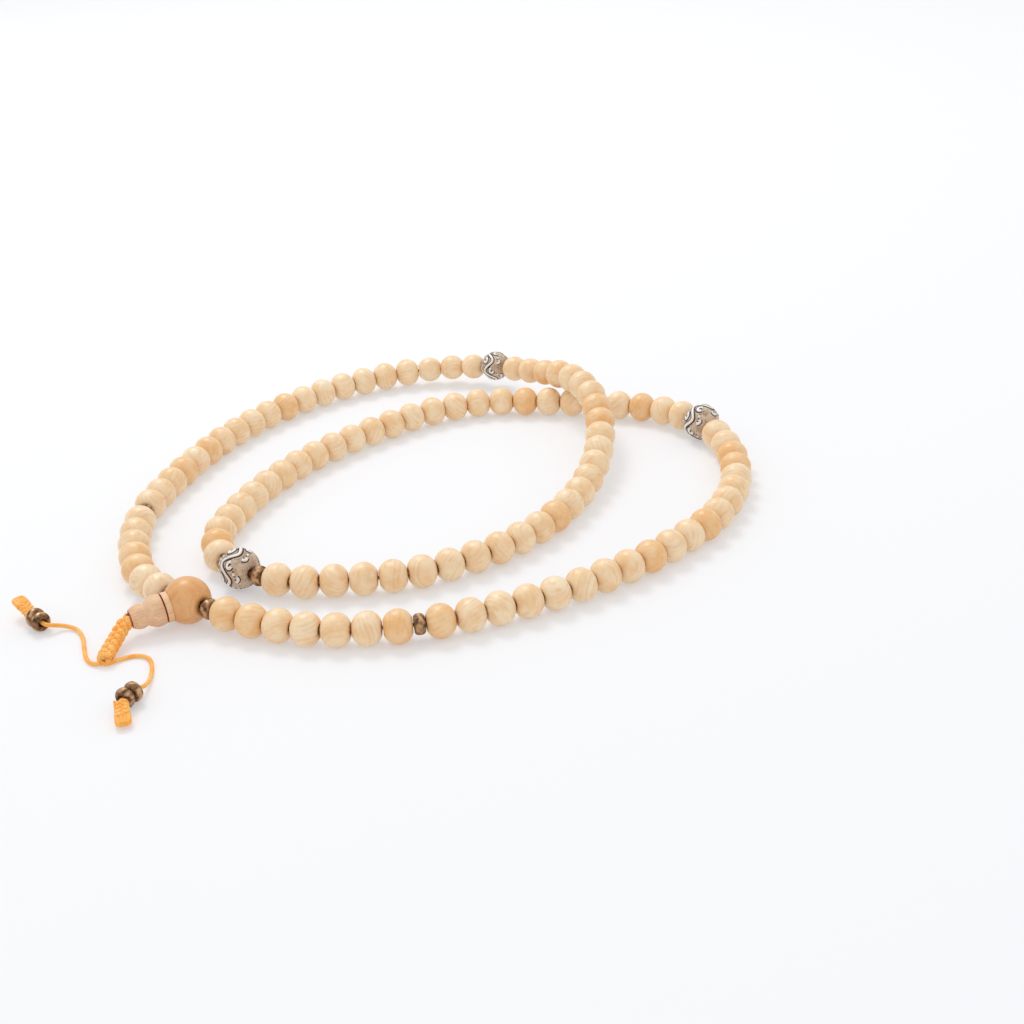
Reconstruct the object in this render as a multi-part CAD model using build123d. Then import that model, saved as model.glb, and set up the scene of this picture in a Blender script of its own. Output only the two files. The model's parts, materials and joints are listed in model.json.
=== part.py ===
"""Mala: a full strand of 108 turned wooden beads, laid down in a loose double loop.

The strand is one cord.  It leaves the guru bead on one side, carries every bead, spacer and
marker, comes back into the guru bead on the other side, and both ends leave through the turned
tower, are tied into a short sennit braid and part as two tails.  Units are millimetres, +Z is
up, and the origin is on the table under the middle of the loops.
"""
import os
from math import cos, pi, radians, sin, tan

from build123d import *

# Driving dimensions
BEAD_DIAMETER = 8.0
BEAD_LENGTH = 6.7            # along the bore, as much strand as one bead takes up
BEAD_BORE = 1.8
SLIM_BEAD_DIAMETER = 7.2     # hand-turned beads vary: the ones by the third marker are slimmer
SLIM_BEADS = range(79, 85)
MARKER_DIAMETERS = (10.0, 10.0, 8.6)
MARKER_LENGTHS = (9.4, 9.4, 8.2)
MARKER_BORE = 2.4
SPACER_DIAMETER = 5.0
SPACER_LENGTH = 2.45
CORD_DIAMETER = 0.9
BORE_RIM = 0.3               # width and depth of the chamfer round each bore
BEAD_RELIEF = 0.11           # a bead's end stops this far inside its length, so that it can tilt
MARKER_RELIEF = 0.3
GURU_DIAMETER = 11.0
GURU_BORE = 2.4
GURU_FACE = 4.5              # from its middle to the small flat that each end spacer bears on
SPACER_FACE = 4.95           # and to the nearer end of that spacer, which stands a little askew
CORD_END_GAP = 0.7           # from the middle of the ball to each end of the strand's cord
SEAT_DROP = 0.4              # the cord lies this far under the axis of the guru's cross bore
MARKER_SEAT_DROP = 0.36      # and this far under a marker's, where it is held more level
TOWER_HEADING = 205.0        # degrees from +X, seen from above
TOWER_DIP = 4.0              # degrees below level
TOWER_BORE = 2.8
COLLAR_FACE = 4.1            # from the middle of the ball along the tower's axis
COLLAR_LENGTH = 1.5
COLLAR_RADIUS = 3.55
COLLAR_CHAMFER = 0.15
TOWER_BASE = 5.75            # the tower's stations are also measured from the middle of the ball
TOWER_BELLY = 7.4
TOWER_WAIST = 10.05
TOWER_SHOULDER = 11.7
TOWER_TIP = 13.5
TOWER_BASE_RADIUS = 3.45
TOWER_BELLY_RADIUS = 3.75
TOWER_WAIST_RADIUS = 2.62
TOWER_SHOULDER_RADIUS = 2.86
TOWER_TIP_RADIUS = 2.0
CORD_PAIR_START = 2.4
CORD_PAIR_SPREAD = 0.55
BRAID_DIAMETER = 3.6
BRAID_GAP = 0.15             # between the tower's end face and the first knot of the braid
BRAID_SHOULDER = 1.0
TABLE_CUT = (400, 400, 10)   # a slab that levels what touches the table
RING_DIAMETER = 5.0
RING_LENGTH = 2.5
RING_BORE = 2.0
RING_PITCH = 2.6
RING_SWELL = 0.45            # how far a ring's round swell stands out from its two edges
LEAD_IN = 0.55               # each tail points straight at its first ring from this far out
KNOT_LENGTH = 8.2
KNOT_WIDTH = 4.0
KNOT_HEIGHT = 2.4
KNOT_ROUND = 0.6
KNOT_NECK = 1.5
KNOT_SHOULDER = 1.5
KNOT_GAP = 0.15

# Where the strand lies: corners of the cord's route, from the guru bead round and back to it
GURU_CENTRE = Vector(-57, -60.5, GURU_DIAMETER / 2)
CROSS_HEADING = -37.5        # the guru's cross bore, degrees from +X
STRAND_ROUTE = [
    (-52.6, -63.4, 4.8), (-42, -69.5, 4.05), (-27, -76, 4), (-2, -76.5, 4), (27, -66.5, 4),
    (50, -51.5, 4), (67, -34.5, 4), (75.5, -15.5, 4), (77, 4.5, 4.05), (72, 23, 5.0),
    (60.5, 37, 4.05), (37, 46, 4), (12, 50.5, 4), (-4, 45.5, 4), (-20, 34, 4), (-36, 18.5, 4),
    (-48, -1.5, 4), (-55, -23, 4), (-53.8, -36, 4.1), (-47, -46.7, 4.9), (-34, -53.2, 4.1),
    (-7, -53, 4), (12, -44.5, 4), (27, -30.5, 4), (37, -12.5, 4.5), (42, 3.5, 7), (43.5, 18.5, 9.6),
    (42, 31.5, 12.3), (37, 45.5, 12.3), (28, 58.5, 8.9), (17, 70.5, 6.6), (4, 76.5, 5.2), (-14, 76.5, 4.3),
    (-33, 68, 4), (-49, 53.5, 4), (-61, 36, 4), (-69.5, 15.5, 4), (-76, -7.5, 4), (-76, -25.5, 4),
    (-71, -45, 4.05), (-61.5, -56.5, 4.8),
]

# The braid and the free tails: along the table, then up through the brass rings to the end knot
BRAID_ROUTE = [(-71.8, -71.3, 2.9), (-73.2, -76.5, 1.85)]
LEFT_TAIL_ROUTE = [
    (-74.1, -78.5, 0.9), (-76.1, -78.1, 0.5), (-78.0, -75.4, 0.5), (-79.3, -70.9, 0.5),
    (-80.6, -65.5, 0.5), (-82.8, -61.6, 0.6), (-86.0, -60.5, 1.0), (-88.7, -61.9, 2.1),
]
LEFT_RING_CENTRE = (-91.0, -60.7)
LEFT_RING_HEADING = 128.0
LEFT_KNOT_HEADING = 129.0
LEFT_KNOT_DIP = -12.0
RIGHT_TAIL_ROUTE = [
    (-72.3, -78.5, 0.9), (-70.1, -76.4, 0.5), (-66.5, -75.2, 0.5), (-63.6, -76.8, 0.5),
    (-62.3, -80.9, 0.5), (-61.9, -86.1, 0.6), (-62.2, -90.3, 1.6),
]
RIGHT_RING_CENTRE = (-63.9, -93.7)
RIGHT_RING_HEADING = 238.0
RIGHT_KNOT_HEADING = 283.0
RIGHT_KNOT_DIP = 8.8


def heading(angle, dip=0.0):
    """Unit vector at an angle from +X, dipping below level."""
    flat = cos(radians(dip))
    return Vector(flat * cos(radians(angle)), flat * sin(radians(angle)), -sin(radians(dip)))


def corner_radii(points):
    """The largest arc that each corner's two runs allow: 0.45 of the shorter run."""
    radii = []
    for before, corner, after in zip(points, points[1:], points[2:]):
        run_in = Vector(*corner) - Vector(*before)
        run_out = Vector(*after) - Vector(*corner)
        turn = radians(run_in.get_angle(run_out))
        radii.append(0.45 * min(run_in.length, run_out.length) / tan(turn / 2))
    return radii


def laid(points):
    """A cord's centre line: straight runs joined by tangent arcs."""
    return FilletPolyline(*points, radius=corner_radii(points))


def cord(name, points):
    """A plain round tube along the route, with its size printed for checking."""
    line = laid(points)
    start = Plane(origin=line @ 0, z_dir=line % 0)
    tube = sweep(start * Circle(CORD_DIAMETER / 2), path=line)
    expected = pi * CORD_DIAMETER ** 2 / 4 * line.length
    radii = ", ".join(f"{radius:.1f}" for radius in corner_radii(points))
    print(f"{name}: {line.length:.1f} mm long, volume {tube.volume / expected:.4f} of section x length")
    print(f"  corner radii {radii}")
    return tube


def turned(profile, plane):
    """A piece turned about its own Z axis, then put where the plane says."""
    return plane.location * revolve(profile, axis=Axis.Z)


def bead_profile(diameter, length, bore, relief):
    """Half section of a round bead: one arc from rim to rim, with a chamfered bore."""
    rim = bore / 2 + BORE_RIM
    top = length / 2 - relief
    outline = [
        ThreePointArc((rim, 0, -top), (diameter / 2, 0, 0), (rim, 0, top)),
        Line((rim, 0, top), (bore / 2, 0, top - BORE_RIM)),
        Line((bore / 2, 0, top - BORE_RIM), (bore / 2, 0, BORE_RIM - top)),
        Line((bore / 2, 0, BORE_RIM - top), (rim, 0, -top)),
    ]
    return make_face(outline)


def ring_profile(diameter, length, bore):
    """Half section of a brass ring: a flat band with a round swell and chamfered ends."""
    edge = diameter / 2 - RING_SWELL
    half = length / 2
    outline = [
        Line((bore / 2, 0, -half), (edge, 0, -half)),
        ThreePointArc((edge, 0, -half), (diameter / 2, 0, 0), (edge, 0, half)),
        Line((edge, 0, half), (bore / 2, 0, half)),
        Line((bore / 2, 0, half), (bore / 2, 0, -half)),
    ]
    return make_face(outline)


def along(origin, direction):
    """A plane whose Z axis is a piece's bore, with its X axis level."""
    return Plane(origin=origin, x_dir=Vector(0, 0, 1).cross(direction), z_dir=direction)


# The strand's cord, from inside the guru bead round to inside it again
cross = heading(CROSS_HEADING)
cord_middle = GURU_CENTRE - Vector(0, 0, SEAT_DROP)
strand_points = [
    tuple(cord_middle + cross * CORD_END_GAP), *STRAND_ROUTE, tuple(cord_middle - cross * CORD_END_GAP),
]
strand_line = laid(strand_points)
pieces = {"stringing_cord": cord("stringing_cord", strand_points)}

# What the cord carries, in order: wooden beads by number, brass spacers and marker beads
strand_order = ["spacer"] + ["bead"] * 7 + ["spacer"] + ["bead"] * 20 + ["marker"]
strand_order += ["bead"] * 27 + ["spacer", "marker", "spacer"]
strand_order += ["bead"] * 27 + ["marker"] + ["bead"] * 20 + ["spacer"] + ["bead"] * 7 + ["spacer"]
strand = []
for place, kind in enumerate(strand_order):
    number = strand_order[:place + 1].count(kind)
    lengths = {"bead": BEAD_LENGTH, "spacer": SPACER_LENGTH, "marker": MARKER_LENGTHS[min(number, 3) - 1]}
    strand.append((kind, number, lengths[kind]))


def strand_profile(kind, number, length):
    """Half section of the strand's piece of this kind and number."""
    if kind == "spacer":
        return ring_profile(SPACER_DIAMETER, length, BEAD_BORE)
    if kind == "marker":
        return bead_profile(MARKER_DIAMETERS[number - 1], length, MARKER_BORE, MARKER_RELIEF)
    diameter = SLIM_BEAD_DIAMETER if number in SLIM_BEADS else BEAD_DIAMETER
    return bead_profile(diameter, length, BEAD_BORE, BEAD_RELIEF)


# Beads next to the guru are single pieces; the rest of the strand is grouped by number
GROUPS = [(8, 17), (18, 27), (28, 36), (37, 45), (46, 54), (55, 63), (64, 72), (73, 81), (82, 91), (92, 101)]


def bead_node(number):
    """The node that holds a bead of this number."""
    for first, last in GROUPS:
        if first <= number <= last:
            return f"beads_{first:03d}_to_{last:03d}"
    return f"bead_{number:03d}"


first_edge = SPACER_FACE - CORD_END_GAP
spare = strand_line.length - 2 * first_edge - sum(length for _, _, length in strand)
gap = spare / (len(strand) + 1)
print(f"{strand_order.count('bead')} beads, {gap:.3f} mm of play at each")
seats = {}                   # node name to the plane of its bore, for every single piece
groups = {}
reach = first_edge + gap
for kind, number, length in strand:
    middle = reach + length / 2
    reach += length + gap
    where = strand_line.position_at(middle, PositionMode.LENGTH)
    bore = strand_line.tangent_at(middle, PositionMode.LENGTH)
    if kind == "marker":
        where += Vector(0, 0, MARKER_SEAT_DROP)
    node = bead_node(number) if kind == "bead" else f"{kind}_{number}"
    piece = turned(strand_profile(kind, number, length), along(where, bore))
    groups.setdefault(node, []).append(piece)
    if not node.startswith("beads"):
        seats[node] = along(where, bore)
for node, members in groups.items():
    pieces[node] = members[0] if len(members) == 1 else Compound(members)

# Guru bead: a ball cross-bored for the strand, flat where the collar sits, open to the tower
tower_axis = heading(TOWER_HEADING, TOWER_DIP)
tower_plane = along(GURU_CENTRE, tower_axis)
cross_plane = along(GURU_CENTRE, cross)
ball = Location(GURU_CENTRE) * Sphere(GURU_DIAMETER / 2)
ball -= cross_plane.location * Cylinder(GURU_BORE / 2, 2 * GURU_DIAMETER)
flat_cut = Cylinder(GURU_DIAMETER, GURU_DIAMETER)
for side in (1, -1):
    ball -= cross_plane.location * Pos(0, 0, side * (GURU_FACE + GURU_DIAMETER / 2)) * flat_cut
ball -= tower_plane.location * Pos(0, 0, COLLAR_FACE / 2) * Cylinder(TOWER_BORE / 2, COLLAR_FACE)
ball -= tower_plane.location * Pos(0, 0, COLLAR_FACE + GURU_DIAMETER / 2) * flat_cut
pieces["guru_bead"] = ball

collar_top = COLLAR_FACE + COLLAR_LENGTH
collar_outline = Polyline(
    (TOWER_BORE / 2, 0, COLLAR_FACE), (COLLAR_RADIUS, 0, COLLAR_FACE),
    (COLLAR_RADIUS, 0, collar_top - COLLAR_CHAMFER), (COLLAR_RADIUS - COLLAR_CHAMFER, 0, collar_top),
    (TOWER_BORE / 2, 0, collar_top), close=True,
)
pieces["guru_collar"] = turned(make_face(collar_outline), tower_plane)

# Tower: a turned gourd of two swells and a waist, bored for the two cord ends
base_edge = (TOWER_BASE_RADIUS, 0, TOWER_BASE)
waist = (TOWER_WAIST_RADIUS, 0, TOWER_WAIST)
tip_edge = (TOWER_TIP_RADIUS, 0, TOWER_TIP)
tower_outline = [
    Line((TOWER_BORE / 2, 0, TOWER_BASE), base_edge),
    ThreePointArc(base_edge, (TOWER_BELLY_RADIUS, 0, TOWER_BELLY), waist),
    ThreePointArc(waist, (TOWER_SHOULDER_RADIUS, 0, TOWER_SHOULDER), tip_edge),
    Line(tip_edge, (TOWER_BORE / 2, 0, TOWER_TIP)),
    Line((TOWER_BORE / 2, 0, TOWER_TIP), (TOWER_BORE / 2, 0, TOWER_BASE)),
]
pieces["guru_tower"] = turned(make_face(tower_outline), tower_plane)
pair_length = TOWER_TIP - CORD_PAIR_START
pair = [
    tower_plane.location * Pos(side * CORD_PAIR_SPREAD, 0, CORD_PAIR_START + pair_length / 2)
    * Cylinder(CORD_DIAMETER / 2, pair_length)
    for side in (1, -1)
]
pieces["tower_cords"] = Compound(pair)

# Braid: a firm square-knot sennit, pulled up against the tower's tip, drooping to the table
tip_face = tower_plane.location * Pos(0, 0, TOWER_TIP + BRAID_GAP)
braid_start = GURU_CENTRE + tower_axis * (TOWER_TIP + BRAID_SHOULDER)
braid_line = laid([tuple(braid_start), *BRAID_ROUTE])
braid_section = Plane(origin=braid_line @ 0, z_dir=braid_line % 0) * Circle(BRAID_DIAMETER / 2)
braid = sweep(braid_section, path=braid_line)
braid += Location(braid_line @ 0) * Sphere(BRAID_DIAMETER / 2)
braid += Location(braid_line @ 1) * Sphere(BRAID_DIAMETER / 2)
braid -= tip_face * Pos(0, 0, -BRAID_DIAMETER) * Cylinder(3 * BRAID_DIAMETER, 2 * BRAID_DIAMETER)
pieces["braid"] = braid - Pos(0, 0, -TABLE_CUT[2] / 2) * Box(*TABLE_CUT)
print(f"braid: {braid_line.length:.1f} mm long")


def knot_body():
    """The flat end knot along +X: a narrow neck, a broad body and a round end."""
    neck = KNOT_NECK / 2
    broad = KNOT_WIDTH / 2
    straight = KNOT_LENGTH - broad
    outline = [
        Line((0, -neck), (KNOT_SHOULDER, -broad)),
        Line((KNOT_SHOULDER, -broad), (straight, -broad)),
        ThreePointArc((straight, -broad), (KNOT_LENGTH, 0), (straight, broad)),
        Line((straight, broad), (KNOT_SHOULDER, broad)),
        Line((KNOT_SHOULDER, broad), (0, neck)),
        Line((0, neck), (0, -neck)),
    ]
    body = extrude(make_face(outline), KNOT_HEIGHT / 2, both=True)
    return fillet(body.edges().group_by(Axis.Z)[0] + body.edges().group_by(Axis.Z)[-1], KNOT_ROUND)


def tail(side, route, ring_centre, ring_heading, knot_heading, knot_dip):
    """One tail: its cord, the two brass rings threaded on it, and the flat end knot."""
    ring_axis = heading(ring_heading)
    first = Vector(*ring_centre, RING_DIAMETER / 2)
    second = first + ring_axis * RING_PITCH
    for number, centre in ((1, first), (2, second)):
        seats[f"tail_ring_{side}_{number}"] = along(centre, ring_axis)
        ring = ring_profile(RING_DIAMETER, RING_LENGTH, RING_BORE)
        pieces[f"tail_ring_{side}_{number}"] = turned(ring, along(centre, ring_axis))
    ring_face = second + ring_axis * (RING_LENGTH / 2)
    knot_axis = heading(knot_heading, knot_dip)
    bend = radians(ring_axis.get_angle(knot_axis))
    knot_start = ring_face + ring_axis * (KNOT_GAP + KNOT_NECK / 2 * sin(bend))
    up = knot_axis.cross(Vector(0, 0, 1).cross(knot_axis))
    knot_plane = Plane(origin=knot_start, x_dir=knot_axis, z_dir=up)
    pieces[f"end_knot_{side}"] = knot_plane.location * knot_body()
    lead_in = first - ring_axis * (RING_LENGTH / 2 + LEAD_IN)
    points = [*route, tuple(lead_in), tuple(ring_face)]
    pieces[f"tail_cord_{side}"] = cord(f"tail_cord_{side}", points)


tail("left", LEFT_TAIL_ROUTE, LEFT_RING_CENTRE, LEFT_RING_HEADING, LEFT_KNOT_HEADING, LEFT_KNOT_DIP)
tail("right", RIGHT_TAIL_ROUTE, RIGHT_RING_CENTRE, RIGHT_RING_HEADING, RIGHT_KNOT_HEADING, RIGHT_KNOT_DIP)

os.makedirs("parts", exist_ok=True)
for node, piece in pieces.items():
    export_step(piece, f"parts/{node}.step")
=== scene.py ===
"""Mala of 108 turned wooden beads, dressed round its fixed CAD frame.

The script follows the mala as it is strung: the table it lies on, the two free tails of its cord,
the cord itself, the wooden beads, the brass spacers, the carved marker beads, the guru bead with
its collar and tower, the braid under the tower, and the rings and knots that close the tails.
Lengths are in metres in the frame's own axes; a timber's grain is held in millimetres.
"""
import json
import math
import random

import bmesh
import bpy
import numpy as np
from mathutils import Euler, Matrix, Vector, noise


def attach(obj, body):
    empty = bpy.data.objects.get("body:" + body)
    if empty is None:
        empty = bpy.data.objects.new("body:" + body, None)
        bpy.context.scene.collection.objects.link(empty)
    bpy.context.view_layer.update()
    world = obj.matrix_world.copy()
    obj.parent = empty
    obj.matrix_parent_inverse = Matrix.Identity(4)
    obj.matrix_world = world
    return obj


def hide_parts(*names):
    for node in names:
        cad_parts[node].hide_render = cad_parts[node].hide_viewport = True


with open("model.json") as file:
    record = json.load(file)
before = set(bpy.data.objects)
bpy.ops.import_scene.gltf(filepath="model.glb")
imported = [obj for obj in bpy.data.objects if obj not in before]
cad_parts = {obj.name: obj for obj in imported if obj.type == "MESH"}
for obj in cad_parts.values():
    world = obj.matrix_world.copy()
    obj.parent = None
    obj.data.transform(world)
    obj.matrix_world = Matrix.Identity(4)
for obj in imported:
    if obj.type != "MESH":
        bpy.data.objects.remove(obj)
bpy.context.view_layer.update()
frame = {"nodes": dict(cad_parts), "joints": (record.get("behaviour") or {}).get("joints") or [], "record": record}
MM = 0.001

# ---------------------------------------------------------------------------------------------
# The table: a plain, matt white top under one broad soft lamp, above and a little behind the
# beads, in a bright white room.  The camera looks down on it from the front at a low angle.
# ---------------------------------------------------------------------------------------------
CAMERA_PLACE = Vector((0.018, -0.3915, 0.1849))
CAMERA_DIP = 0.4564
CAMERA_ROLL = 0.0655
CAMERA_LENS = 58.13
CAMERA_NEAR = 0.01
SENSOR_WIDTH = 36.0
FLOOR_SIZE = 8.0
FLOOR_COLOUR = (0.58, 0.58, 0.59, 1)
FLOOR_GLOW = 0.33
FLOOR_GLOW_COLOUR = (0.95, 0.97, 1.0, 1)
ROOM_COLOUR = (1.0, 1.0, 1.0, 1)
ROOM_LIGHT = 0.88
LAMP_PLACE = Vector((-0.25, 0.55, 0.95))
LAMP_WIDTH = 0.42
LAMP_WATTS = 3.9


class Number:
    """A number that varies over a surface, so that shader maths reads as plain arithmetic."""

    def __init__(self, finish, socket):
        self.finish = finish
        self.socket = socket

    def __add__(self, other):
        return self.finish.maths("ADD", self, other)

    def __sub__(self, other):
        return self.finish.maths("SUBTRACT", self, other)

    def __rsub__(self, other):
        return self.finish.maths("SUBTRACT", other, self)

    def __mul__(self, other):
        return self.finish.maths("MULTIPLY", self, other)

    def __truediv__(self, other):
        return self.finish.maths("DIVIDE", self, other)

    __radd__ = __add__
    __rmul__ = __mul__

    def between(self, low, high):
        """0 below low, 1 above high and a smooth step from one to the other."""
        sockets = {"Value": self, "From Min": low, "From Max": high}
        stepped = self.finish.node("ShaderNodeMapRange", {"interpolation_type": "SMOOTHSTEP"}, sockets)
        return Number(self.finish, stepped.outputs["Result"])


class Finish:
    """One procedural material: a Principled surface with its constants set on its own sockets."""

    def __init__(self, name, constants):
        self.material = bpy.data.materials.new(name)
        self.material.use_nodes = True
        self.tree = self.material.node_tree
        self.surface = self.tree.nodes["Principled BSDF"]
        for socket, value in constants.items():
            self.surface.inputs[socket].default_value = value

    def node(self, kind, settings, sockets):
        """A node of this kind, its settings first and then the values or links of its sockets."""
        made = self.tree.nodes.new(kind)
        for setting, value in settings.items():
            setattr(made, setting, value)
        for socket, value in sockets.items():
            self.join(made.inputs[socket], value)
        return made

    def join(self, socket, value):
        """Gives a socket a fixed value or a link."""
        if isinstance(value, Number):
            value = value.socket
        if isinstance(value, bpy.types.NodeSocket):
            self.tree.links.new(value, socket)
        else:
            socket.default_value = value

    def maths(self, operation, first, second=0.0):
        made = self.node("ShaderNodeMath", {"operation": operation}, {0: first, 1: second})
        return Number(self, made.outputs[0])

    def vector(self, operation, first, second):
        made = self.node("ShaderNodeVectorMath", {"operation": operation}, {0: first, 1: second})
        return made.outputs[0]

    def length(self, vector):
        made = self.node("ShaderNodeVectorMath", {"operation": "LENGTH"}, {0: vector})
        return Number(self, made.outputs["Value"])

    def split(self, vector):
        made = self.node("ShaderNodeSeparateXYZ", {}, {0: vector})
        return [Number(self, made.outputs[axis]) for axis in range(3)]

    def attribute(self, name):
        return self.node("ShaderNodeAttribute", {"attribute_name": name}, {}).outputs

    def place(self):
        """The point on the piece in millimetres, from its object's own coordinates."""
        spot = self.node("ShaderNodeTexCoord", {}, {}).outputs["Object"]
        return self.vector("MULTIPLY", spot, (1 / MM,) * 3)

    def noise(self, vector, scale, detail=2.0, output="Fac"):
        sockets = {"Vector": vector, "Scale": scale, "Detail": detail}
        made = self.node("ShaderNodeTexNoise", {}, sockets).outputs[output]
        return Number(self, made) if output == "Fac" else made

    def mix(self, amount, first, second):
        """The first colour where amount is 0 and the second where it is 1."""
        sockets = {0: amount, 6: first, 7: second}
        return self.node("ShaderNodeMix", {"data_type": "RGBA"}, sockets).outputs[2]

    def relief(self, height, depth, strength=1.0):
        """Fine surface relief, this deep in metres where height goes from 0 to 1."""
        sockets = {"Height": height, "Distance": depth, "Strength": strength}
        self.join(self.surface.inputs["Normal"], self.node("ShaderNodeBump", {}, sockets).outputs[0])

    def set(self, socket, value):
        self.join(self.surface.inputs[socket], value)


def new_piece(name, bm, finish):
    """A smooth-shaded object from the bmesh, at the origin, in this finish."""
    mesh = bpy.data.meshes.new(name)
    bm.to_mesh(mesh)
    bm.free()
    mesh.shade_smooth()
    piece = bpy.data.objects.new(name, mesh)
    bpy.context.scene.collection.objects.link(piece)
    piece.data.materials.append(finish.material)
    return piece


def table_finish():
    """A matt white top with a faint light of its own, which keeps the shadows on it pale."""
    finish = Finish("white table top", {"Base Color": FLOOR_COLOUR, "Specular IOR Level": 0.2})
    grain = finish.noise(finish.place(), 0.02)
    finish.set("Roughness", 0.7 + 0.1 * grain)
    finish.surface.inputs["Emission Color"].default_value = FLOOR_GLOW_COLOUR
    finish.surface.inputs["Emission Strength"].default_value = FLOOR_GLOW
    return finish


table = bmesh.new()
bmesh.ops.create_grid(table, x_segments=4, y_segments=4, size=FLOOR_SIZE / 2)
new_piece("table", table, table_finish())

right = Vector((1, 0, 0))
up = Vector((0, math.sin(CAMERA_DIP), math.cos(CAMERA_DIP)))
back = right.cross(up)
turned_right = right * math.cos(CAMERA_ROLL) - up * math.sin(CAMERA_ROLL)
turned_up = right * math.sin(CAMERA_ROLL) + up * math.cos(CAMERA_ROLL)
camera = bpy.data.objects.new("camera", bpy.data.cameras.new("camera"))
bpy.context.scene.collection.objects.link(camera)
camera_turn = Matrix((turned_right, turned_up, back)).transposed().to_4x4()
camera.matrix_world = Matrix.Translation(CAMERA_PLACE) @ camera_turn
camera.data.lens = CAMERA_LENS
camera.data.sensor_width = SENSOR_WIDTH
camera.data.clip_start = CAMERA_NEAR
bpy.context.scene.camera = camera

room = bpy.data.worlds.new("white room")
room.use_nodes = True
room.node_tree.nodes["Background"].inputs["Color"].default_value = ROOM_COLOUR
room.node_tree.nodes["Background"].inputs["Strength"].default_value = ROOM_LIGHT
bpy.context.scene.world = room
bpy.context.scene.view_settings.view_transform = "Standard"
lamp = bpy.data.objects.new("lamp", bpy.data.lights.new("lamp", "AREA"))
bpy.context.scene.collection.objects.link(lamp)
lamp.data.size = LAMP_WIDTH
lamp.data.energy = LAMP_WATTS
lamp.location = LAMP_PLACE
lamp.rotation_euler = (-LAMP_PLACE).to_track_quat("-Z", "Y").to_euler()

# ---------------------------------------------------------------------------------------------
# The two free tails: the ends of the mala's own cord, a smooth 1.0 mm braided nylon in marigold
# yellow.  They part at the end of the braid, curl over the table and climb into the brass rings.
# ---------------------------------------------------------------------------------------------
CORD_DIAMETER = 1.0 * MM
CORD_SIDES = 4
CORD_COLOUR = (1.0, 0.44, 0.055, 1)
CORD_SHADE = (0.88, 0.25, 0.02, 1)
CORD_LIGHT = (1.0, 0.60, 0.17, 1)
CORD_PLAIT_TURNS = 4
CORD_PLAIT_PITCH = 1.1
TAIL_ROUTES = {
    "left": [
        (-0.0741, -0.0785, 0.0009), (-0.0761, -0.0781, 0.0005), (-0.0780, -0.0754, 0.0005),
        (-0.0793, -0.0709, 0.0005), (-0.0806, -0.0655, 0.0005), (-0.0828, -0.0616, 0.0006),
        (-0.0860, -0.0605, 0.0010), (-0.0887, -0.0619, 0.0021),
    ],
    "right": [
        (-0.0723, -0.0785, 0.0009), (-0.0701, -0.0764, 0.0005), (-0.0665, -0.0752, 0.0005),
        (-0.0636, -0.0768, 0.0005), (-0.0623, -0.0809, 0.0005), (-0.0619, -0.0861, 0.0006),
        (-0.0622, -0.0903, 0.0016),
    ],
}
RING_HALF = 1.25 * MM
LEAD_IN = 0.55 * MM

joint_of = {joint["child"]: joint for joint in frame["joints"]}


def seat(node):
    """Centre and bore direction of a piece that turns on the cord."""
    joint = joint_of[node]
    return Vector(joint["pos_m"]), Vector(joint["axis"]).normalized()


def spline_through(points, bevel=0.0, fineness=12):
    """The mesh of one NURBS spline with these control points: its line, or a tube round it."""
    data = bpy.data.curves.new("route", "CURVE")
    data.dimensions = "3D"
    data.resolution_u = fineness
    data.bevel_depth = bevel
    data.bevel_resolution = CORD_SIDES
    data.use_fill_caps = bool(bevel > 0)
    spline = data.splines.new("NURBS")
    spline.points.add(len(points) - 1)
    for spot, point in zip(spline.points, points):
        spot.co = (*point, 1)
    spline.order_u = 3
    spline.use_endpoint_u = True
    holder = bpy.data.objects.new("route", data)
    bpy.context.scene.collection.objects.link(holder)
    bpy.context.view_layer.update()
    mesh = bpy.data.meshes.new_from_object(holder)
    bpy.data.objects.remove(holder)
    return mesh


def line_of(points, fineness=12):
    """The smooth line itself, as points in order."""
    return [vertex.co.copy() for vertex in spline_through(points, 0.0, fineness).vertices]


def carried_frames(line):
    """At each point of a line: its distance along it, and its tangent, side and upward directions."""
    side = None
    run = 0.0
    frames = []
    for number, point in enumerate(line):
        ahead = line[min(number + 1, len(line) - 1)] - line[max(number - 1, 0)]
        tangent = ahead.normalized()
        if side is None:
            side = tangent.orthogonal() if abs(tangent.z) > 0.95 else Vector((0, 0, 1)).cross(tangent)
        side = (side - tangent * side.dot(tangent)).normalized()
        if number:
            run += (point - line[number - 1]).length
        frames.append((run, point, tangent, side, tangent.cross(side)))
    return frames


def add_cord(bm, points, radius, fineness=12):
    """Adds a round cord to the bmesh, with its twist held as (cosine, sine, distance along in mm)."""
    mesh = spline_through(points, radius, fineness)
    frames = carried_frames(line_of(points, fineness))
    line = np.array([place for _, place, _, _, _ in frames])
    layer = bm.verts.layers.float_vector.get("lay") or bm.verts.layers.float_vector.new("lay")
    before = len(bm.verts)
    bm.from_mesh(mesh)
    bm.verts.ensure_lookup_table()
    for vertex in bm.verts[before:]:
        run, place, _, side, over = frames[int(np.argmin(((line - np.array(vertex.co)) ** 2).sum(1)))]
        offset = (vertex.co - place).normalized()
        vertex[layer] = (offset.dot(side), offset.dot(over), run / MM)


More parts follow.
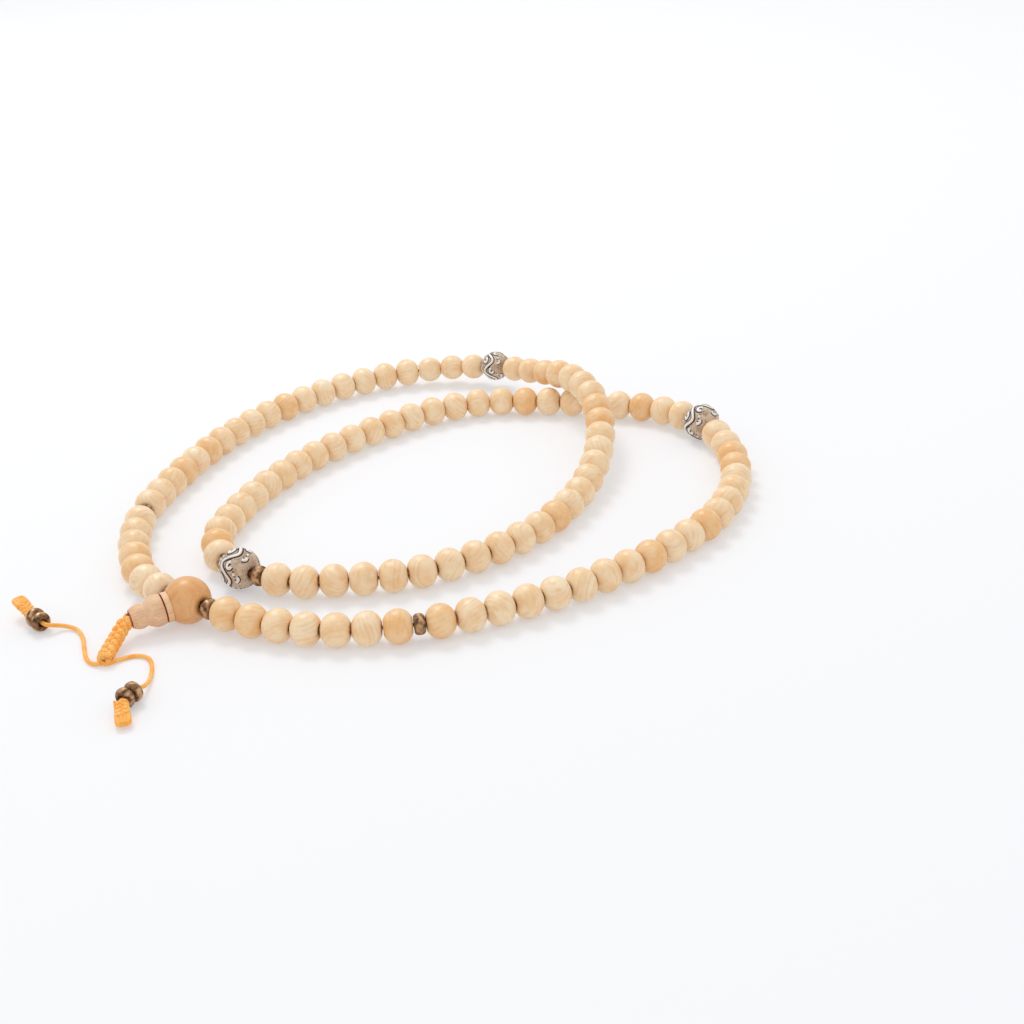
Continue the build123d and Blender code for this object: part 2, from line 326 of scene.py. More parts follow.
def cord_finish(name, laid, light=CORD_LIGHT, colour=CORD_COLOUR):
    """Braided nylon: a satin thread with fine diamonds where two sets of strands cross."""
    finish = Finish(name, {"Sheen Weight": 0.12, "Sheen Roughness": 0.5, "Subsurface Weight": 0.12,
                           "Subsurface Radius": (0.9, 0.45, 0.12), "Subsurface Scale": 0.6 * MM})
    place = finish.place()
    if laid:
        cosine, sine, run = finish.split(finish.attribute("lay")["Vector"])
        around = finish.maths("ARCTAN2", sine, cosine) * CORD_PLAIT_TURNS
        along = run * (2 * math.pi / CORD_PLAIT_PITCH)
        one = finish.maths("SINE", around + along)
        other = finish.maths("SINE", around - along)
        weave = 0.5 + 0.5 * (one * other)
    else:
        weave = finish.noise(place, 3.0)
    fuzz = finish.noise(place, 5.0, 3.0)
    cloud = finish.noise(place, 0.35)
    tint = finish.mix(cloud.between(0.35, 0.7), colour, light)
    # Painted shade: where the weave is low the colour darkens toward CORD_SHADE, the shade in its hollows.
    finish.set("Base Color", finish.mix(weave.between(0.62, 0.1) * 0.5 + 0.1 * fuzz, tint, CORD_SHADE))
    finish.set("Roughness", 0.46 + 0.2 * fuzz)
    finish.relief(weave * 0.8 + fuzz * 0.3, 0.05 * MM)
    return finish


braided_cord = cord_finish("marigold cord", laid=True)
for side_name, route in TAIL_ROUTES.items():
    first_centre, ring_axis = seat(f"tail_ring_{side_name}_1")
    last_centre, _ = seat(f"tail_ring_{side_name}_2")
    lead_in = first_centre - ring_axis * (RING_HALF + LEAD_IN)
    way = [*route, tuple(lead_in), tuple(last_centre + ring_axis * RING_HALF)]
    line_of(way)
    bm = bmesh.new()
    add_cord(bm, way, CORD_DIAMETER / 2)
    tail = new_piece(f"free_tail_{side_name}", bm, braided_cord)
    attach(tail, f"tail_{side_name}")
    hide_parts(f"tail_cord_{side_name}")

# ---------------------------------------------------------------------------------------------
# The stringing cord: the same marigold nylon, one length through every bead and back into the
# guru bead, where both ends turn down through the tower.  It only shows in the gaps, and there its
# colour is darkened to brown as painted shade.
# ---------------------------------------------------------------------------------------------
# Painted shade: the cord's marigold is darkened to a dull brown, standing in for the shadow in the gaps between
# the beads.
GAP_SHADE_CORD = (0.50, 0.22, 0.06, 1)
shade_darkened_cord = cord_finish("cord inside the strand, darkened as painted shade", laid=False, light=CORD_SHADE, colour=GAP_SHADE_CORD)
for node in ("stringing_cord", "tower_cords"):
    cord_node = frame["nodes"][node]
    cord_node.data.materials.clear()
    cord_node.data.materials.append(shade_darkened_cord.material)

# ---------------------------------------------------------------------------------------------
# The 108 beads: pale, close-grained wood turned to slightly flattened balls, drilled, sanded and
# waxed to a satin.  Each was cut from the stock at its own angle, so its rings lie its own way.
# ---------------------------------------------------------------------------------------------
BEAD_STEPS = 44
BEAD_ARC = 18
BEAD_BORE = 0.9 * MM
BORE_RIM = 0.3 * MM
BEAD_SHOULDER = 1.75 * MM
WOOD_PALE = (0.93, 0.77, 0.54, 1)
WOOD_HONEY = (0.85, 0.50, 0.21, 1)
WOOD_LATE = (0.70, 0.37, 0.14, 1)
RING_GAP = 1.1
TRUNK_NEAR = 18.0
TRUNK_FAR = 46.0
HONEY_BEADS = 0.16
HONEY_TONES = (0.6, 1.0)
PALE_TONES = (0.0, 0.38)
TRUNK_LENGTH = 400.0
RING_DEPTH = 0.30
WOOD_SHINE = 0.2
WOOD_GLOW = {"Subsurface Radius": (0.8, 0.4, 0.15), "Subsurface Scale": 0.5 * MM}
OWN_PLACE = {"Location": (31, 24, 0), "Rotation": (0.5, 1.1, 0.3)}

bodies = frame["record"]["behaviour"]["bodies"]
body_of = {node: body for body, nodes in bodies.items() for node in nodes}
draw = random.Random(108)


def wood_finish(name, pale, honey, late, ring_gap, own_place=False):
    """Waxed wood: growth rings round a distant pith, long fibres, small pores and a soft cloud."""
    finish = Finish(name, {"Coat Roughness": 0.22, "Specular IOR Level": 0.42,
                           "Subsurface Weight": 0.08, **WOOD_GLOW})
    if own_place:
        grain = finish.node("ShaderNodeMapping", {}, {"Vector": finish.place(), **OWN_PLACE}).outputs[0]
        tone = finish.noise(grain, 0.08)
    else:
        grain = finish.attribute("grain")["Vector"]
        tone = Number(finish, finish.attribute("tone")["Fac"])
    sway = finish.vector("SUBTRACT", finish.noise(grain, 0.11, 2.0, "Color"), (0.5, 0.5, 0.5))
    bent = finish.vector("ADD", grain, finish.vector("MULTIPLY", sway, (3.2, 3.2, 0.0)))
    from_pith = finish.length(finish.vector("MULTIPLY", bent, (1.0, 1.0, 0.0)))
    ring = finish.maths("FRACT", from_pith / ring_gap)
    late_wood = ring.between(0.1, 0.8) * (1 - ring.between(0.82, 1.0))
    year = finish.noise(finish.vector("MULTIPLY", bent, (0.6, 0.6, 0.04)), 1.0)
    fibre = finish.noise(finish.vector("MULTIPLY", grain, (5.0, 5.0, 0.35)), 1.0, 3.0)
    pores = finish.noise(finish.vector("MULTIPLY", grain, (11.0, 11.0, 1.4)), 1.0).between(0.62, 0.74)
    cloud = finish.noise(grain, 0.30, 3.0).between(0.38, 0.68)
    ground = finish.mix(tone * 0.75 + 0.42 * cloud, pale, honey)
    streak = late_wood * year.between(0.35, 0.68) * RING_DEPTH + 0.16 * fibre.between(0.35, 0.8)
    finish.set("Base Color", finish.mix(streak + 0.16 * pores, ground, late))
    finish.set("Roughness", 0.33 + 0.12 * fibre + 0.15 * pores)
    finish.set("Coat Weight", WOOD_SHINE + 0.1 * cloud)
    finish.relief(0.35 * fibre - 0.6 * pores - 0.2 * late_wood, 0.03 * MM, 0.5)
    return finish


def shells(node):
    """Each turned solid of a CAD node: its centre, bore direction, largest radius and half length."""
    bm = bmesh.new()
    bm.from_mesh(frame["nodes"][node].data)
    bmesh.ops.remove_doubles(bm, verts=bm.verts, dist=1e-7)
    bm.verts.index_update()
    label = np.full(len(bm.verts), -1)
    found = []
    for vertex in bm.verts:
        if label[vertex.index] >= 0:
            continue
        label[vertex.index] = len(found)
        waiting = [vertex]
        reached = []
        while waiting:
            at = waiting.pop()
            reached.append(at)
            for edge in at.link_edges:
                other = edge.other_vert(at)
                if label[other.index] < 0:
                    label[other.index] = len(found)
                    waiting.append(other)
        found.append(reached)
    places = []
    for reached in found:
        points = np.array([vertex.co for vertex in reached])
        weights = np.array([sum(face.calc_area() for face in vertex.link_faces) for vertex in reached])
        centre = (points * weights[:, None]).sum(0) / weights.sum()
        out = points - centre
        spread, directions = np.linalg.eigh((out * weights[:, None]).T @ out)
        axis = directions[:, 0] if spread[1] - spread[0] > spread[2] - spread[1] else directions[:, 2]
        along = out @ axis
        around = np.linalg.norm(out - np.outer(along, axis), axis=1)
        places.append((Vector(centre), Vector(axis), around.max(), np.abs(along).max()))
    bm.free()
    return places


def spin(bm, outline, steps):
    """Adds a shape turned round Z from a closed outline of (radius, height); returns its vertices."""
    before = len(bm.verts)
    spots = [bm.verts.new((radius, 0, height)) for radius, height in outline]
    edges = [bm.edges.new((one, other)) for one, other in zip(spots, spots[1:] + spots[:1])]
    bmesh.ops.spin(bm, geom=spots + edges, cent=(0, 0, 0), axis=(0, 0, 1), angle=2 * math.pi,
                   steps=steps, use_merge=True)
    bm.verts.ensure_lookup_table()
    made = bm.verts[before:]
    bmesh.ops.remove_doubles(bm, verts=made, dist=1e-7)
    bm.verts.ensure_lookup_table()
    made = bm.verts[before:]
    bmesh.ops.recalc_face_normals(bm, faces=list({face for vertex in made for face in vertex.link_faces}))
    return made


def ball_arc(radius, half, shoulder):
    """The arc of a ball's side: how far its centre lies from the bore, and its own radius."""
    middle = (shoulder ** 2 + half ** 2 - radius ** 2) / (2 * (shoulder - radius))
    return middle, radius - middle


def ball_outline(radius, half, bore, rim, shoulder):
    """A drilled ball: one arc from shoulder to shoulder, small flat ends and a chamfered bore."""
    middle, arc_radius = ball_arc(radius, half, shoulder)
    sweep = math.atan2(half, shoulder - middle)
    outline = []
    for step in range(BEAD_ARC + 1):
        angle = sweep * (2 * step / BEAD_ARC - 1)
        outline.append((middle + arc_radius * math.cos(angle), arc_radius * math.sin(angle)))
    return [*outline, (bore + rim, half), (bore, half - rim), (bore, rim - half), (bore + rim, -half)]


def turn_to(centre, axis, angle=0.0):
    """Puts a piece turned round Z where its bore runs along the axis."""
    tilt = axis.to_track_quat("Z", "Y").to_matrix().to_4x4()
    return Matrix.Translation(centre) @ tilt @ Matrix.Rotation(angle, 4, "Z")


bead_wood = wood_finish("waxed bead wood", WOOD_PALE, WOOD_HONEY, WOOD_LATE, RING_GAP)
for node in sorted(name for name in frame["nodes"] if name.startswith("bead")):
    bm = bmesh.new()
    grain_layer = bm.verts.layers.float_vector.new("grain")
    tone_layer = bm.verts.layers.float.new("tone")
    for centre, axis, radius, half in shells(node):
        bead = spin(bm, ball_outline(radius, half, BEAD_BORE, BORE_RIM, BEAD_SHOULDER), BEAD_STEPS)
        turn = Euler([draw.uniform(0, 2 * math.pi) for _ in range(3)]).to_matrix()
        bearing = draw.uniform(0, 2 * math.pi)
        out = draw.uniform(TRUNK_NEAR, TRUNK_FAR)
        up_trunk = draw.uniform(-TRUNK_LENGTH, TRUNK_LENGTH)
        cut = Vector((out * math.cos(bearing), out * math.sin(bearing), up_trunk))
        tone = draw.uniform(*(HONEY_TONES if draw.random() < HONEY_BEADS else PALE_TONES))
        for vertex in bead:
            vertex[grain_layer] = turn @ (vertex.co / MM) + cut
            vertex[tone_layer] = tone
        bmesh.ops.transform(bm, matrix=turn_to(centre, axis), verts=bead)
    piece = new_piece(f"wood_{node}", bm, bead_wood)
    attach(piece, body_of[node])
    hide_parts(node)

# ---------------------------------------------------------------------------------------------
# The brass spacers: small cast rings with a round swell, hammered and blackened, then rubbed
# bright again wherever they touch their neighbours.
# ---------------------------------------------------------------------------------------------
BRASS_DARK = (0.055, 0.032, 0.018, 1)
BRASS_BROWN = (0.26, 0.125, 0.055, 1)
BRASS_BRIGHT = (0.68, 0.42, 0.22, 1)
RING_STEPS = 40
RING_ARC = 8
RING_EDGE = 0.14 * MM
HAMMER_DEPTH = 0.05 * MM
HAMMER_SIZE = 0.9 * MM
HAMMER_SHIFT = 50
DENT_LEVEL = 0.6
DENTS_START = 0.3
CROWN_ROUNDNESS = 0.98
SPACER_SWELL = 0.5 * MM


def brass_finish():
    """Antique brass: dark in its hollows, brown on the flats, bright on the rubbed crown."""
    finish = Finish("antique brass", {"Specular IOR Level": 0.5})
    place = finish.place()
    rubbed = Number(finish, finish.attribute("rubbed")["Fac"])
    blotch = finish.noise(place, 0.9, 4.0)
    grit = finish.noise(place, 4.0, 3.0)
    wear = (rubbed * 0.75 + blotch * 0.9 - 0.35).between(0.2, 0.95)
    brown = finish.mix(blotch.between(0.3, 0.6), BRASS_DARK, BRASS_BROWN)
    finish.set("Base Color", finish.mix(wear, brown, BRASS_BRIGHT))
    finish.set("Metallic", 0.55 + 0.4 * wear)
    finish.set("Roughness", 0.56 - 0.24 * wear + 0.15 * grit)
    finish.relief(0.6 * grit + blotch, 0.08 * MM, 0.5)
    return finish


def ring_outline(radius, half, bore, swell):
    """A ring with a round swell between two short bevels, and a broken edge at its bore."""
    edge = radius - swell
    outline = [(bore + RING_EDGE, -half), (edge - RING_EDGE, -half)]
    for step in range(RING_ARC + 1):
        share = 2 * step / RING_ARC - 1
        crown = swell * math.sqrt(1 - CROWN_ROUNDNESS * share * share)
        outline.append((edge + crown, (half - RING_EDGE) * share))
    outline += [(edge - RING_EDGE, half), (bore + RING_EDGE, half)]
    return [*outline, (bore, half - RING_EDGE), (bore, RING_EDGE - half)]


def hammered_ring(node, finish, bore, swell, trim=0.0):
    """A ring on its seat, smaller all round by the trim, with shallow dents pressed into its outside."""
    bm = bmesh.new()
    rubbed = bm.verts.layers.float.new("rubbed")
    (centre, axis, radius, half), = shells(node)
    radius, half = radius - trim, half - trim
    ring = spin(bm, ring_outline(radius, half, bore, swell), RING_STEPS)
    shift = Vector([draw.uniform(-HAMMER_SHIFT, HAMMER_SHIFT) for _ in range(3)])
    for vertex in ring:
        flat = Vector((vertex.co.x, vertex.co.y, 0))
        height = (flat.length - bore) / (radius - bore)
        dent = noise.noise(vertex.co / HAMMER_SIZE + shift)
        vertex[rubbed] = max(0.0, height) * (0.6 + 0.8 * dent)
        if height > DENTS_START:
            vertex.co -= flat.normalized() * HAMMER_DEPTH * max(0.0, DENT_LEVEL - dent) * height
    bmesh.ops.transform(bm, matrix=turn_to(centre, axis), verts=ring)
    piece = new_piece(f"brass_{node}", bm, finish)
    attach(piece, body_of[node])
    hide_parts(node)
    return piece


old_brass = brass_finish()
for number in range(1, 7):
    hammered_ring(f"spacer_{number}", old_brass, BEAD_BORE, SPACER_SWELL)

# ---------------------------------------------------------------------------------------------
# The three marker beads: larger balls of grey-brown speckled stone, carved round their middle
# with a running vine, its buds and leaves, filled with white enamel inside blackened outlines.
# ---------------------------------------------------------------------------------------------
MARKER_BORE = 1.2 * MM
MARKER_SHOULDER = 1.9 * MM
MARKER_GROUND = (0.47, 0.33, 0.225, 1)
MARKER_TRIM = 0.22 * MM
MARKER_PALE = (0.66, 0.51, 0.38, 1)
MARKER_DARK = (0.15, 0.085, 0.05, 1)
ENAMEL_WHITE = (0.84, 0.83, 0.81, 1)
ENAMEL_GREY = (0.50, 0.47, 0.44, 1)
OUTLINE_BLACK = (0.05, 0.032, 0.023, 1)
VINE_WAVES = 4
VINE_REACH = 0.30
CURL_POINTS = 9
CURL_SWEEP = 4.6
CURL_REACH = 0.17
CURL_DROP = 0.26
VINE_POINTS = 64
ENAMEL_RADIUS = 0.54 * MM
OUTLINE_RADIUS = 1.40 * MM
ENAMEL_SUNK = 0.26 * MM
OUTLINE_SUNK = 1.21 * MM
INLAY_FINENESS = 6
INLAY_BALL = 5 * MM
MARKER_TURN = 0.9
CURL_WIDER = 1.25
CURL_CLOSES = 0.45
LEAF = ((-0.16, 0.62), (0.0, 0.86), (0.20, 0.70))
BUD = ((0.36, 0.52), (0.40, 0.62))


def stone_finish():
    """Speckled stone, darker where grime has stayed, with a dull polish."""
    finish = Finish("speckled marker stone", {"Specular IOR Level": 0.45, "Coat Weight": 0.12,
                                              "Coat Roughness": 0.3})
    place = finish.place()
    speckle = finish.noise(place, 3.2, 4.0)
    cloud = finish.noise(place, 0.5, 3.0)
    ground = finish.mix(cloud.between(0.35, 0.65), MARKER_GROUND, MARKER_PALE)
    finish.set("Base Color", finish.mix(speckle.between(0.52, 0.72), ground, MARKER_DARK))
    finish.set("Roughness", 0.42 + 0.3 * speckle)
    finish.relief(speckle, 0.06 * MM, 0.7)
    return finish


def enamel_finish():
    """White enamel, a little silvery, rubbed grey in places."""
    finish = Finish("worn white enamel", {"Specular IOR Level": 0.5})
    rub = finish.noise(finish.place(), 1.6, 4.0)
    finish.set("Base Color", finish.mix(rub.between(0.56, 0.75), ENAMEL_WHITE, ENAMEL_GREY))
    finish.set("Roughness", 0.28 + 0.3 * rub)
    finish.set("Metallic", 0.25 * rub)
    finish.relief(rub, 0.05 * MM, 0.5)
    return finish


def outline_finish():
    """The blackened cut round the enamel."""
    finish = Finish("blackened outline", {"Specular IOR Level": 0.3})
    soot = finish.noise(finish.place(), 2.5, 3.0)
    finish.set("Base Color", finish.mix(soot.between(0.4, 0.8), OUTLINE_BLACK, MARKER_DARK))
    finish.set("Roughness", 0.6 + 0.2 * soot)
    return finish


def on_ball(radius, half, longitude, latitude, sunk):
    """A point this far round and up the drilled ball, pushed in under its surface."""
    middle, arc_radius = ball_arc(radius, half, MARKER_SHOULDER)
    out = middle + (arc_radius - sunk) * math.cos(latitude)
    height = (arc_radius - sunk) * math.sin(latitude)
    return Vector((out * math.cos(longitude), out * math.sin(longitude), height))


def vine_strokes():
    """The ornament as strokes of (longitude, latitude): one wave, with a curl, leaf and bud in each bend."""
    wave = []
    for step in range(VINE_POINTS + 1):
        turn = 2 * math.pi * step / VINE_POINTS
        wave.append((turn, VINE_REACH * math.sin(VINE_WAVES * turn)))
    strokes = [wave]
    for bend in range(2 * VINE_WAVES):
        side = -1 if bend % 2 else 1
        middle = math.pi * (bend + 0.5) / VINE_WAVES
        curl = []
        for step in range(CURL_POINTS):
            angle = CURL_SWEEP * step / (CURL_POINTS - 1)
            reach = CURL_REACH * (1 - CURL_CLOSES * step / CURL_POINTS)
            rise = side * (reach * math.sin(angle) - CURL_DROP)
            curl.append((middle + CURL_WIDER * reach * math.cos(angle), rise))
        strokes.append(curl)
        for stroke in (LEAF, BUD):
            strokes.append([(middle + along, side * rise) for along, rise in stroke])
    return strokes


stone = stone_finish()
enamel = enamel_finish()
outline_black = outline_finish()
for number in (1, 2, 3):
    node = f"marker_{number}"
    (centre, axis, radius, half), = shells(node)
    radius -= MARKER_TRIM
    place = turn_to(centre, axis, MARKER_TURN * number)
    bm = bmesh.new()
    spin(bm, ball_outline(radius, half, MARKER_BORE, BORE_RIM, MARKER_SHOULDER), 2 * BEAD_STEPS)
    ball = new_piece(f"stone_{node}", bm, stone)
    ball.data.transform(place)
    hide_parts(node)
    layers = [ball]
    scale = radius / INLAY_BALL
    for name, thick, sunk, finish in (("outline", OUTLINE_RADIUS, OUTLINE_SUNK, outline_black),
                                      ("enamel", ENAMEL_RADIUS, ENAMEL_SUNK, enamel)):
        bm = bmesh.new()
        for stroke in vine_strokes():
            points = [on_ball(radius, half, turn, rise, sunk * scale) for turn, rise in stroke]
            bm.from_mesh(spline_through(points, thick * scale, INLAY_FINENESS))
        inlay = new_piece(f"{name}_{node}", bm, finish)
        inlay.data.transform(place)
        layers.append(inlay)
    for layer in layers:
        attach(layer, body_of[node])

# ---------------------------------------------------------------------------------------------
# The guru bead: an 11 mm ball of a redder piece of the same wood, drilled through for the strand
# and faced flat where the collar is glued on.  A thin cheek at each end of the cross bore carries
# the ball's round over the flat there, up to the spacer.
# ---------------------------------------------------------------------------------------------
GURU_PALE = (0.83, 0.48, 0.215, 1)
GURU_HONEY = (0.72, 0.34, 0.115, 1)
GURU_LATE = (0.52, 0.22, 0.065, 1)
GURU_RADIUS = 5.505 * MM
GURU_CHEEK_OUT = 3.4 * MM
GURU_CHEEK_IN = 2.5 * MM
GURU_BORE = 1.25 * MM
GURU_CHEEK_STEPS = 6
GURU_RING_GAP = 1.5
guru_wood = wood_finish("guru bead wood", GURU_PALE, GURU_HONEY, GURU_LATE, GURU_RING_GAP, own_place=True)
frame["nodes"]["guru_bead"].data.materials.clear()
frame["nodes"]["guru_bead"].data.materials.append(guru_wood.material)
ball_centre, tower_axis = seat("tower")
_, strand_axis = seat("guru")
bm = bmesh.new()
for direction in (strand_axis, -strand_axis):
    cheek = []
    for step in range(GURU_CHEEK_STEPS + 1):
        out = GURU_CHEEK_OUT + (GURU_CHEEK_IN - GURU_CHEEK_OUT) * step / GURU_CHEEK_STEPS
        cheek.append((out, math.sqrt(GURU_RADIUS ** 2 - out ** 2)))
    low = cheek[0][1]
    ring = spin(bm, [*cheek, (GURU_BORE, cheek[-1][1]), (GURU_BORE, low)], 2 * BEAD_STEPS)
    bmesh.ops.transform(bm, matrix=turn_to(ball_centre, direction), verts=ring)
cheeks = new_piece("wood_guru_cheeks", bm, guru_wood)
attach(cheeks, "guru")

# ---------------------------------------------------------------------------------------------
# Collar and tower: a thin pale ring of wood and a small turned gourd, both threaded on the two
# cord ends.  The gourd's end grain was stained red-brown, which shows as a line at each end.
# ---------------------------------------------------------------------------------------------
TOWER_BORE = 1.4 * MM
TOWER_STEPS = 48
COLLAR_PALE = (0.86, 0.60, 0.37, 1)
TOWER_PALE = (0.82, 0.545, 0.34, 1)
TOWER_HONEY = (0.74, 0.43, 0.235, 1)
TOWER_LATE = (0.52, 0.26, 0.13, 1)
STAIN = (0.43, 0.10, 0.045, 1)
COLLAR_STAIN_AT = 5.62
COLLAR_STAIN_WIDTH = 0.16
TOWER_STAIN_WIDTH = 0.30
TOWER_GRAIN = Vector((21, 9, 0))
COLLAR_CURVE = [(4.1, 3.45), (4.16, 3.53), (4.3, 3.56), (5.3, 3.56), (5.5, 3.52), (5.6, 3.40)]
TOWER_CURVE = [
    (5.75, 3.10), (5.85, 3.42), (6.1, 3.56), (6.7, 3.70), (7.4, 3.75), (8.1, 3.66),
    (8.8, 3.40), (9.4, 3.03), (9.8, 2.74), (10.05, 2.64), (10.35, 2.70), (10.8, 2.84),
    (11.4, 2.90), (12.0, 2.84), (12.6, 2.64), (13.1, 2.38), (13.38, 2.16), (13.5, 1.98),
]


def lengthwise_wood(name, pale, honey, late):
    """Wood cut along its length: long fine fibres, a soft shimmer and stained end grain."""
    finish = Finish(name, {"Coat Roughness": 0.35, "Specular IOR Level": 0.4,
                           "Subsurface Weight": 0.06, **WOOD_GLOW})
    grain = finish.attribute("grain")["Vector"]
    ends = Number(finish, finish.attribute("stained")["Fac"])
    fibre = finish.noise(finish.vector("MULTIPLY", grain, (3.2, 3.2, 0.30)), 1.0, 4.0)
    dash = finish.noise(finish.vector("MULTIPLY", grain, (7.0, 7.0, 0.9)), 1.0, 2.0).between(0.58, 0.72)
    cloud = finish.noise(grain, 0.28, 3.0)
    ground = finish.mix(cloud.between(0.3, 0.7), pale, honey)
    worked = finish.mix(fibre.between(0.42, 0.72) * 0.42 + 0.28 * dash, ground, late)
    ragged = (ends + 0.5 * (fibre - 0.5)).between(0.35, 0.75)
    finish.set("Base Color", finish.mix(ragged, worked, STAIN))
    finish.set("Roughness", 0.44 + 0.14 * fibre)
    finish.set("Coat Weight", 0.1 + 0.05 * cloud)
    finish.relief(0.5 * fibre - 0.4 * dash, 0.035 * MM, 0.6)
    return finish


def threaded_piece(name, outline, stain_at, stain_width, finish, node):
    """A piece turned round the tower's axis from (distance from the ball's middle, radius) in mm."""
    bm = bmesh.new()
    grain_layer = bm.verts.layers.float_vector.new("grain")
    stain_layer = bm.verts.layers.float.new("stained")
    low, high = outline[0][0] * MM, outline[-1][0] * MM
    section = [(radius * MM, height * MM) for height, radius in outline]
    made = spin(bm, [*section, (TOWER_BORE, high), (TOWER_BORE, low)], TOWER_STEPS)
    for vertex in made:
        height = vertex.co.z / MM
        vertex[grain_layer] = vertex.co / MM + TOWER_GRAIN
        vertex[stain_layer] = max(max(0.0, 1 - abs(height - spot) / stain_width) for spot in stain_at)
    bmesh.ops.transform(bm, matrix=turn_to(ball_centre, tower_axis), verts=made)
    piece = new_piece(name, bm, finish)
    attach(piece, body_of[node])
    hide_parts(node)


collar_wood = lengthwise_wood("collar wood", COLLAR_PALE, GURU_PALE, TOWER_LATE)
threaded_piece("wood_collar", COLLAR_CURVE, (COLLAR_STAIN_AT,), COLLAR_STAIN_WIDTH, collar_wood,
               "guru_collar")
tower_wood = lengthwise_wood("tower wood", TOWER_PALE, TOWER_HONEY, TOWER_LATE)
threaded_piece("wood_tower", TOWER_CURVE, (TOWER_CURVE[0][0], TOWER_CURVE[-1][0]), TOWER_STAIN_WIDTH,
               tower_wood, "guru_tower")

# ---------------------------------------------------------------------------------------------
# The braid: both cord ends, doubled back and plaited hard up against the tower's tip.  Three
# strands pass over and under each other round a core, widen a little and droop to the table.
# ---------------------------------------------------------------------------------------------
BRAID_TOP = 13.6 * MM
BRAID_SHOULDER = 14.5 * MM
BRAID_MIDDLE = (-0.0718, -0.0713, 0.0027)
BRAID_END = (-0.0732, -0.0776, 0.00175)
BRAID_REACH = 1.22 * MM
BRAID_SPREAD = 0.4
BRAID_DEPTH = 0.75 * MM
BRAID_PERIOD = 5.6 * MM
STRAND_RADIUS = 0.76 * MM
BRAID_CORE = 0.7 * MM
WRAP_TURNS = 2
WRAP_RADIUS = 1.2 * MM
WRAP_THREAD = 0.52 * MM
WRAP_POINTS = 12
WRAP_PITCH = 1.7
PLAIT_STRANDS = 3
PLAIT_FINENESS = 3


def plait(bm, line, reach, depth, period, radius, spread=0.0):
    """Adds three strands along a line: each swings from side to side and passes over, then under."""
    frames = carried_frames(line)
    for phase in range(PLAIT_STRANDS):
        strand = []
        for run, place, _, side, over in frames:
            swing = 2 * math.pi * (run / period + phase / PLAIT_STRANDS)
            width = reach * (1 + spread * (run / frames[-1][0] - 0.5))
            strand.append(place + side * width * math.sin(swing) + over * depth * math.sin(2 * swing))
        add_cord(bm, strand, radius, fineness=PLAIT_FINENESS)


def wrap(bm, place, tangent, side, over, turns, reach, radius):
    """Adds a few tight turns of cord round a line at one place."""
    points = []
    for step in range(turns * WRAP_POINTS + 1):
        angle = 2 * math.pi * step / WRAP_POINTS
        ahead = tangent * radius * WRAP_PITCH * (step / WRAP_POINTS - turns / 2)
        points.append(place + ahead + (side * math.cos(angle) + over * math.sin(angle)) * reach)
    add_cord(bm, points, radius, fineness=PLAIT_FINENESS)


bm = bmesh.new()
braid_start = [ball_centre + tower_axis * reach for reach in (BRAID_TOP, BRAID_SHOULDER)]
braid_way = [*braid_start, BRAID_MIDDLE, BRAID_END]
braid_line = line_of([tuple(point) for point in braid_way])
plait(bm, braid_line, BRAID_REACH, BRAID_DEPTH, BRAID_PERIOD, STRAND_RADIUS, BRAID_SPREAD)
add_cord(bm, [tuple(point) for point in braid_way], BRAID_CORE)
_, end_place, end_tangent, end_side, end_over = carried_frames(braid_line)[-1]
wrap(bm, end_place, end_tangent, end_side, end_over, WRAP_TURNS, WRAP_RADIUS, WRAP_THREAD)
braid = new_piece("plaited_braid", bm, braided_cord)
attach(braid, "guru")
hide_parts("braid")

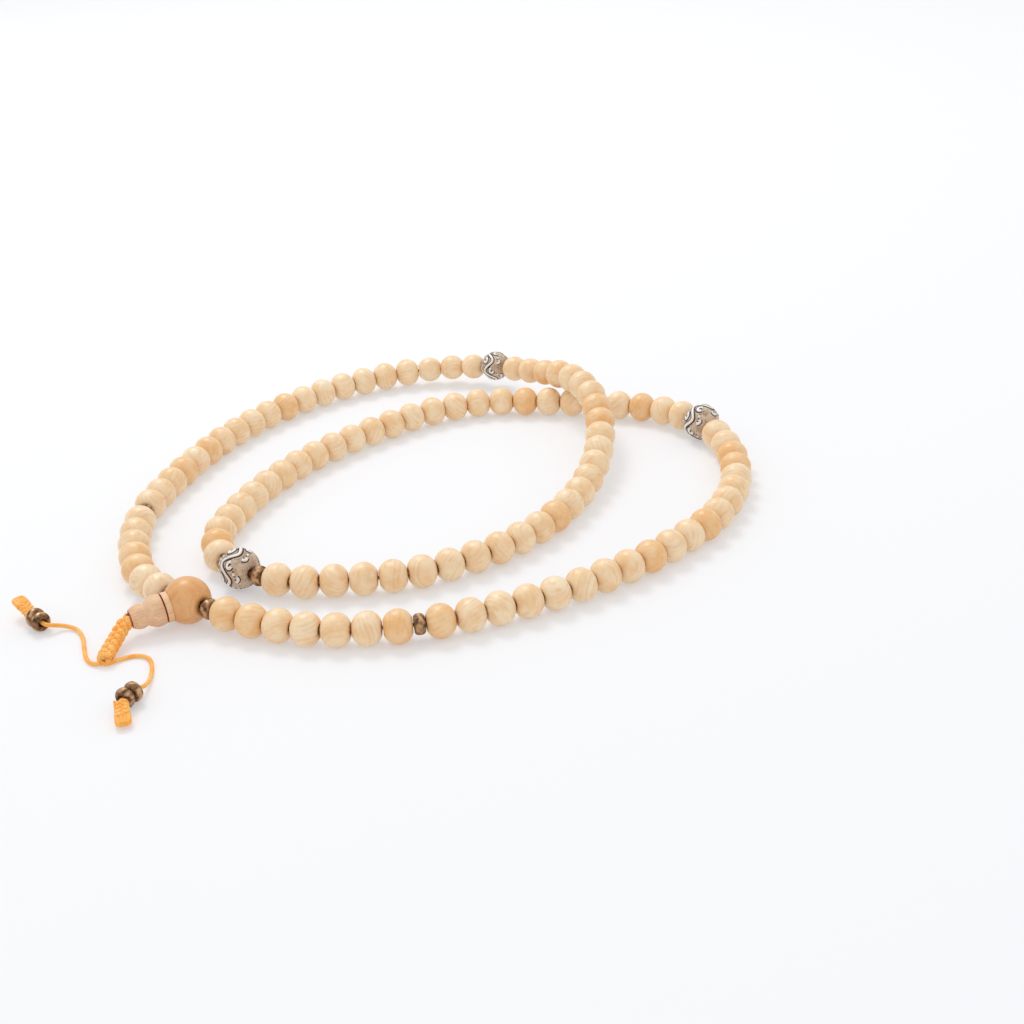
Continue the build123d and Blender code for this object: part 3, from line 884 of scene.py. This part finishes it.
# ---------------------------------------------------------------------------------------------
# What closes each tail: two loose brass rings like the spacers, and past them a flat end knot
# with a woven neck, from which the cord is folded into two loops and tucked across the end.
# ---------------------------------------------------------------------------------------------
TAIL_RING_BORE = 1.0 * MM
TAIL_RING_SWELL = 0.62 * MM
TAIL_RING_TRIM = 0.16 * MM
KNOT_WAYS = {"left": (129.0, -12.0), "right": (283.0, 8.8)}
KNOT_START = 0.3 * MM
KNOT_WEAVE = 5.4 * MM
KNOT_END = 8.0 * MM
KNOT_REACH = 1.05 * MM
KNOT_DEPTH = 0.42 * MM
KNOT_PERIOD = 3.6 * MM
KNOT_STRAND = 0.60 * MM
KNOT_CORE = 0.65 * MM
LOOP_INNER = 0.36 * MM
LOOP_OUTER = 1.10 * MM
TUCK_OUT = 0.7 * MM
LOOP_RADIUS = 0.66 * MM

for side_name, (turn, dip) in KNOT_WAYS.items():
    rings = [hammered_ring(f"tail_ring_{side_name}_{number}", old_brass, TAIL_RING_BORE,
                           TAIL_RING_SWELL, TAIL_RING_TRIM) for number in (1, 2)]
    last_centre, ring_axis = seat(f"tail_ring_{side_name}_2")
    turn, dip = math.radians(turn), math.radians(dip)
    ahead = Vector((math.cos(dip) * math.cos(turn), math.cos(dip) * math.sin(turn), -math.sin(dip)))
    sideways = Vector((0, 0, 1)).cross(ahead).normalized()
    start = last_centre + ring_axis * RING_HALF
    bm = bmesh.new()
    weave_way = [start + ahead * reach for reach in (KNOT_START, KNOT_WEAVE / 2, KNOT_WEAVE)]
    plait(bm, line_of(weave_way), KNOT_REACH, KNOT_DEPTH, KNOT_PERIOD, KNOT_STRAND)
    add_cord(bm, weave_way, KNOT_CORE)
    for side in (-1, 1):
        loop = [(KNOT_WEAVE - LOOP_OUTER, LOOP_INNER), (KNOT_END - 2 * LOOP_OUTER, LOOP_INNER),
                (KNOT_END - LOOP_RADIUS, LOOP_INNER), (KNOT_END - LOOP_RADIUS, LOOP_OUTER),
                (KNOT_END - 2 * LOOP_OUTER, LOOP_OUTER), (KNOT_WEAVE - LOOP_OUTER, LOOP_OUTER)]
        add_cord(bm, [start + ahead * along + sideways * side * out for along, out in loop], LOOP_RADIUS)
    tuck = [start + ahead * (KNOT_END - LOOP_RADIUS) + sideways * out for out in (-TUCK_OUT, 0, TUCK_OUT)]
    add_cord(bm, tuck, LOOP_RADIUS)
    knot = new_piece(f"woven_end_knot_{side_name}", bm, braided_cord)
    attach(knot, f"tail_{side_name}")
    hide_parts(f"end_knot_{side_name}")
